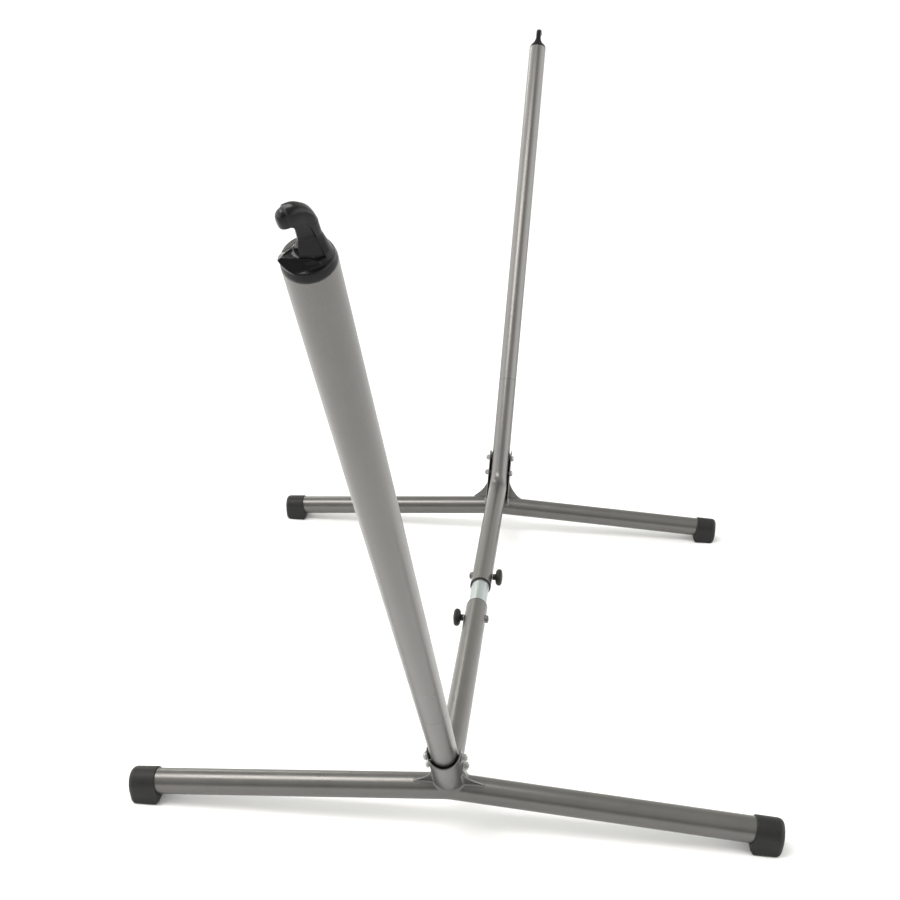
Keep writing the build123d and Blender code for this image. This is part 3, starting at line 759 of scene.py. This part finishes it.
# ---------------------------------------------------------------- studio and camera
def height_ramp(nodes, stops):
    ramp = nodes.new("ShaderNodeValToRGB")
    while len(ramp.color_ramp.elements) < len(stops):
        ramp.color_ramp.elements.new(0.5)
    for element, (position, colour) in zip(ramp.color_ramp.elements, stops):
        element.position = position
        element.color = (*colour, 1)
    return ramp


def studio_floor():
    mat, nodes, links, shader = clear("studio_floor")
    place = nodes.new("ShaderNodeTexCoord")
    noise = nodes.new("ShaderNodeTexNoise")
    noise.inputs["Scale"].default_value = 3.0
    ramp = nodes.new("ShaderNodeValToRGB")
    ramp.color_ramp.elements[0].color = (0.90, 0.90, 0.905, 1)
    ramp.color_ramp.elements[1].color = (0.92, 0.92, 0.925, 1)
    links.new(place.outputs["Object"], noise.inputs["Vector"])
    links.new(noise.outputs["Fac"], ramp.inputs["Fac"])
    links.new(ramp.outputs["Color"], shader.inputs["Base Color"])
    shader.inputs["Roughness"].default_value = 0.9
    shader.inputs["Specular IOR Level"].default_value = 0.1
    mesh = bpy.data.meshes.new("floor")
    mesh.from_pydata([(-60, -40, -0.0003), (9, -40, -0.0003), (9, 40, -0.0003), (-60, 40, -0.0003)], [],
                     [(0, 1, 2, 3)])
    floor = bpy.data.objects.new("floor", mesh)
    mesh.materials.append(mat)
    bpy.context.scene.collection.objects.link(floor)


def studio_world():
    """Soft surroundings whose brightness goes by direction."""
    world = bpy.data.worlds.new("studio")
    bpy.context.scene.world = world
    world.use_nodes = True
    nodes, links = world.node_tree.nodes, world.node_tree.links
    nodes.clear()
    out = nodes.new("ShaderNodeOutputWorld")
    back = nodes.new("ShaderNodeBackground")
    back.inputs["Strength"].default_value = 3.0
    place = nodes.new("ShaderNodeTexCoord")
    parts = nodes.new("ShaderNodeSeparateXYZ")
    # The near side is dark just above the horizon and brighter overhead. The far side is nearly even.
    near = height_ramp(nodes, [
        (0.0, (0.36, 0.36, 0.36)),
        (0.505, (0.34, 0.34, 0.34)),
        (0.525, (0.12, 0.12, 0.10)),
        (0.66, (0.10, 0.10, 0.09)),
        (0.72, (0.16, 0.16, 0.15)),
        (0.80, (0.28, 0.28, 0.27)),
        (1.0, (0.28, 0.28, 0.27)),
    ])
    far = height_ramp(nodes, [
        (0.0, (0.38, 0.38, 0.38)),
        (0.51, (0.38, 0.38, 0.38)),
        (0.54, (0.36, 0.36, 0.33)),
        (0.75, (0.34, 0.34, 0.31)),
        (0.85, (0.24, 0.24, 0.225)),
        (1.0, (0.28, 0.28, 0.27)),
    ])
    height = nodes.new("ShaderNodeMapRange")
    height.inputs["From Min"].default_value = -1.0
    side = nodes.new("ShaderNodeMapRange")
    side.inputs["From Min"].default_value = -0.2
    side.inputs["From Max"].default_value = 0.2
    blend = nodes.new("ShaderNodeMix")
    blend.data_type = "RGBA"
    links.new(place.outputs["Generated"], parts.inputs["Vector"])
    links.new(parts.outputs["Z"], height.inputs["Value"])
    links.new(parts.outputs["X"], side.inputs["Value"])
    links.new(height.outputs["Result"], near.inputs["Fac"])
    links.new(height.outputs["Result"], far.inputs["Fac"])
    links.new(side.outputs["Result"], blend.inputs["Factor"])
    links.new(far.outputs["Color"], blend.inputs[6])
    links.new(near.outputs["Color"], blend.inputs[7])
    # Both flanks are bright.
    flank = nodes.new("ShaderNodeMath")
    flank.operation = "ABSOLUTE"
    flank_share = nodes.new("ShaderNodeMapRange")
    flank_share.inputs["From Min"].default_value = 0.50
    flank_share.inputs["From Max"].default_value = 0.85
    flanks = nodes.new("ShaderNodeMix")
    flanks.data_type = "RGBA"
    flanks.inputs[7].default_value = (0.95, 0.95, 0.94, 1)
    links.new(parts.outputs["Y"], flank.inputs[0])
    links.new(flank.outputs[0], flank_share.inputs["Value"])
    links.new(flank_share.outputs["Result"], flanks.inputs["Factor"])
    links.new(blend.outputs[2], flanks.inputs[6])
    links.new(flanks.outputs[2], back.inputs["Color"])
    links.new(back.outputs["Background"], out.inputs["Surface"])


def area_light(name, place, target, size, power, colour=(1, 1, 1)):
    data = bpy.data.lights.new(name, "AREA")
    data.shape = "RECTANGLE"
    data.size, data.size_y = size
    data.energy = power
    data.color = colour
    obj = bpy.data.objects.new(name, data)
    w = unit(np.asarray(place, float) - np.asarray(target, float))
    u = unit(np.cross(Y if abs(w[1]) < 0.9 else X, w))
    v = np.cross(w, u)
    obj.matrix_world = Matrix([[u[0], v[0], w[0], place[0]], [u[1], v[1], w[1], place[1]],
                               [u[2], v[2], w[2], place[2]], [0, 0, 0, 1]])
    bpy.context.scene.collection.objects.link(obj)


def lights():
    area_light("overhead", (1.1, -1.75, 4.0), (0.9, -1.0, 0.0), (1.8, 1.6), 75, (1.0, 0.95, 0.91))
    area_light("left_strip", (-2.9, -1.85, 2.15), (0.3, 0.0, 0.15), (0.5, 1.3), 14, (1.0, 0.99, 0.92))
    area_light("hook_top", (0.75, -0.45, 4.2), (1.43, -0.04, 1.3), (0.9, 0.9), 22, (1.0, 0.97, 0.93))


def camera():
    azimuth, elevation, roll = -0.10806, -0.39851, 0.0091
    w = np.array([-cos(elevation) * cos(azimuth), cos(elevation) * sin(azimuth), sin(elevation)])
    right = unit(np.cross(w, Z))
    up = np.cross(right, w)
    r = cos(roll) * right + sin(roll) * up
    u = -sin(roll) * right + cos(roll) * up
    data = bpy.data.cameras.new("camera")
    data.lens = 45.736
    data.sensor_width = 36.0
    data.clip_end = 200.0
    obj = bpy.data.objects.new("camera", data)
    spot = (2.3655, 0.18481, 1.50537)
    obj.matrix_world = Matrix([[r[0], u[0], -w[0], spot[0]], [r[1], u[1], -w[1], spot[1]],
                               [r[2], u[2], -w[2], spot[2]], [0, 0, 0, 1]])
    bpy.context.scene.collection.objects.link(obj)
    bpy.context.scene.camera = obj


bpy.context.scene.view_settings.view_transform = "Standard"
camera()
studio_floor()
studio_world()
lights()
build()
dress_nodes()
